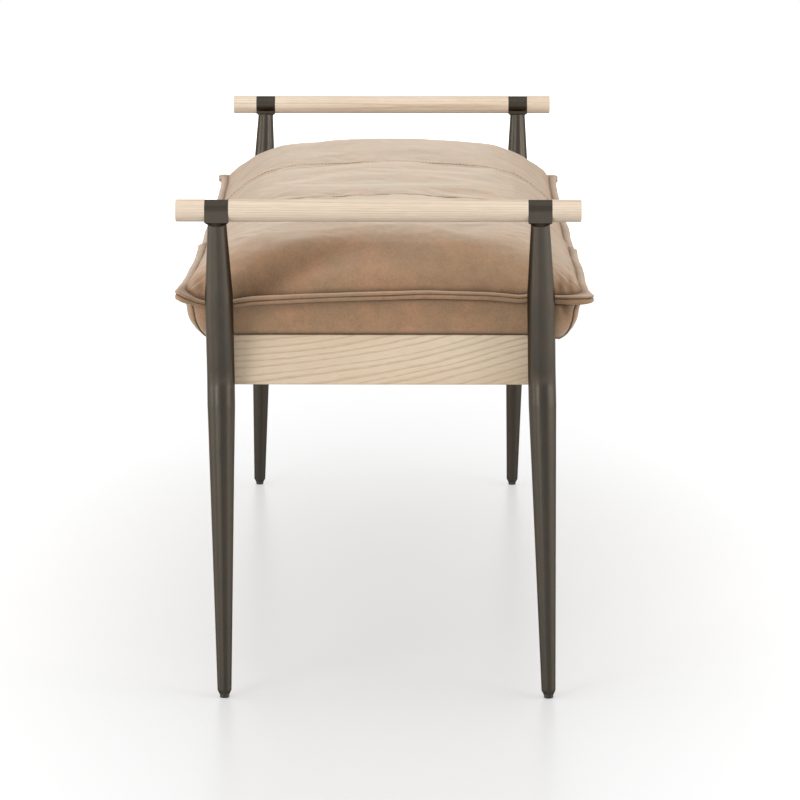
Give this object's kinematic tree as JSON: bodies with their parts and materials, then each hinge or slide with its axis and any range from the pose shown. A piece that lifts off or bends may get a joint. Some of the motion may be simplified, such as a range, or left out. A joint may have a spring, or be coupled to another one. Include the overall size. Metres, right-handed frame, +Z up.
{
  "type": "dining bench",
  "caption": "Upholstered bench with a boxed leather cushion on a shallow ash apron, bent tapered metal legs and a round ash handle across each end.",
  "frame": {"origin": "on the floor under the middle of the bench", "axes": "+Z up, +X along the length towards the right end, +Y to the back"},
  "size_m": [1.2816, 0.479, 0.5742],
  "materials": {
    "forged_steel": "dark waxed patina",
    "zinc_steel": "zinc plated",
    "glide_nylon": "moulded",
    "ash_handle": "pale oiled ash, turned",
    "ash_rail": "pale oiled ash, sanded",
    "cleat_wood": "sawn, bare",
    "deck_plywood": "sanded plywood",
    "nubuck_leather": "matt nubuck, stitched",
    "foam": "open-cell foam",
    "lining_cloth": "woven lining",
    "zip_tape": "woven tape",
    "zip_metal": "antique"
  },
  "bodies": {
    "frame": {"brace_left": "cleat_wood", "brace_right": "cleat_wood", "brace_screws": "zinc_steel", "cleat_screws": "zinc_steel", "deck_screws": "zinc_steel", "end_cleat_left": "cleat_wood", "end_cleat_right": "cleat_wood", "end_rail_left": "ash_rail", "end_rail_right": "ash_rail", "glide_back_left": "glide_nylon", "glide_back_right": "glide_nylon", "glide_front_left": "glide_nylon", "glide_front_right": "glide_nylon", "handle_end_back_left": "ash_handle", "handle_end_back_right": "ash_handle", "handle_end_front_left": "ash_handle", "handle_end_front_right": "ash_handle", "handle_rod_left": "ash_handle", "handle_rod_right": "ash_handle", "handle_studs": "zinc_steel", "leg_back_left": "forged_steel", "leg_back_right": "forged_steel", "leg_front_left": "forged_steel", "leg_front_right": "forged_steel", "leg_nuts": "zinc_steel", "leg_studs": "zinc_steel", "leg_washers": "zinc_steel", "seat_deck": "deck_plywood", "side_cleat_back": "cleat_wood", "side_cleat_front": "cleat_wood", "side_rail_back": "ash_rail", "side_rail_front": "ash_rail"},
    "cushion": {"bottom_cover": "lining_cloth", "boxing_back": "nubuck_leather", "boxing_front": "nubuck_leather", "boxing_left": "nubuck_leather", "boxing_right": "nubuck_leather", "crown_panel_left": "nubuck_leather", "crown_panel_middle": "nubuck_leather", "crown_panel_right": "nubuck_leather", "foam_core": "foam", "foam_topper": "foam", "lip_lower": "nubuck_leather", "lip_upper": "nubuck_leather", "zip_slider": "zip_metal", "zip_strip": "zip_tape"}
  },
  "joints": [
    {"name": "cushion_lift", "type": "slide", "parent": "frame", "child": "cushion", "axis": [0, 0, 1], "range_m": [0, 0.25]}
  ]
}
